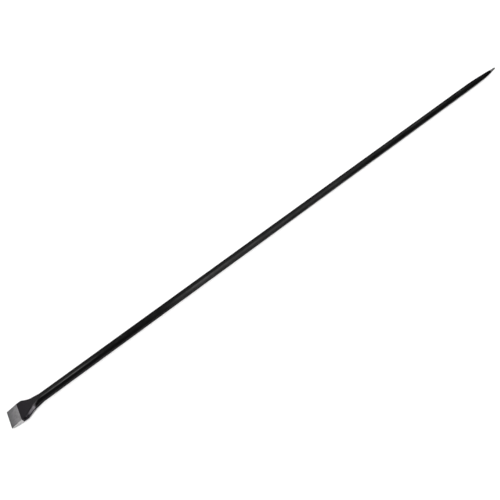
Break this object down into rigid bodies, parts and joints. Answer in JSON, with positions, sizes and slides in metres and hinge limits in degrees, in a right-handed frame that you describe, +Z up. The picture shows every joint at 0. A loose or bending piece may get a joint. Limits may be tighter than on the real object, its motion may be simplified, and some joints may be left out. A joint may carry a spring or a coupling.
{
  "type": "digging bar",
  "caption": "Long six-sided steel bar in black enamel, with a flared chisel head ground bare at its edge and a tapered pencil point, for breaking and prying hard ground.",
  "frame": {"origin": "middle of the bar's length and of its shank's width, on the surface it lies on, under its bottom flat", "axes": "+X along the bar from the chisel to the point, +Y across the blade, +Z up out of the top flat"},
  "size_m": [1.8, 0.0546, 0.02],
  "materials": {
    "steel_core": "rolled bar under enamel",
    "ground_steel": "coarse ground, bare",
    "weld_metal": "dressed flush, under enamel",
    "black_enamel": "satin black enamel"
  },
  "bodies": {
    "root": {"shank": "steel_core", "chisel_head": "ground_steel", "pencil_point": "ground_steel", "head_weld": "weld_metal", "point_weld": "weld_metal", "shank_enamel": "black_enamel", "head_enamel": "black_enamel", "point_enamel": "black_enamel"}
  },
  "joints": []
}
